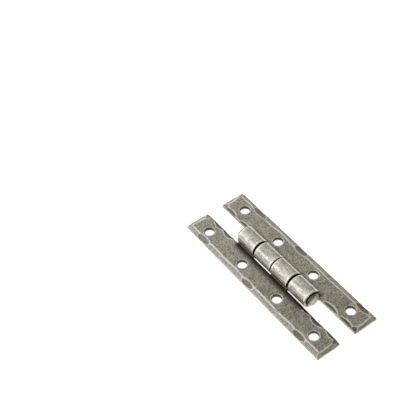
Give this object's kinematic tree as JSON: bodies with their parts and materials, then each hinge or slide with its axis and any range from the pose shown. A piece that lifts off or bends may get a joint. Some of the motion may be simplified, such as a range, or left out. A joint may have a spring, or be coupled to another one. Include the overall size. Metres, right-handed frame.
{
  "type": "h hinge",
  "caption": "Surface-mounted cabinet H hinge: two long hammered sheet leaves with screw holes, joined by a short rolled barrel on a headed pin so that one leaf swings.",
  "frame": {"origin": "middle of the hinge on the plane of the leaves' backs", "axes": "+Z out of the visible face, +Y along the pin towards the left leaf's end knuckle, +X from the left leaf to the right leaf"},
  "size_m": [0.0296, 0.0834, 0.0082],
  "materials": {
    "leaf_steel": "antique pewter, worn on the edges",
    "pin_steel": "dull peened steel"
  },
  "bodies": {
    "left_side": {"left_leaf": "leaf_steel", "hinge_pin": "pin_steel"},
    "right_side": {"right_leaf": "leaf_steel"}
  },
  "joints": [
    {"name": "leaf_swing", "type": "hinge", "parent": "left_side", "child": "right_side", "pos_m": [0, 0, 0.0041], "axis": [0, -1, 0], "range_deg": [-75, 180]}
  ]
}
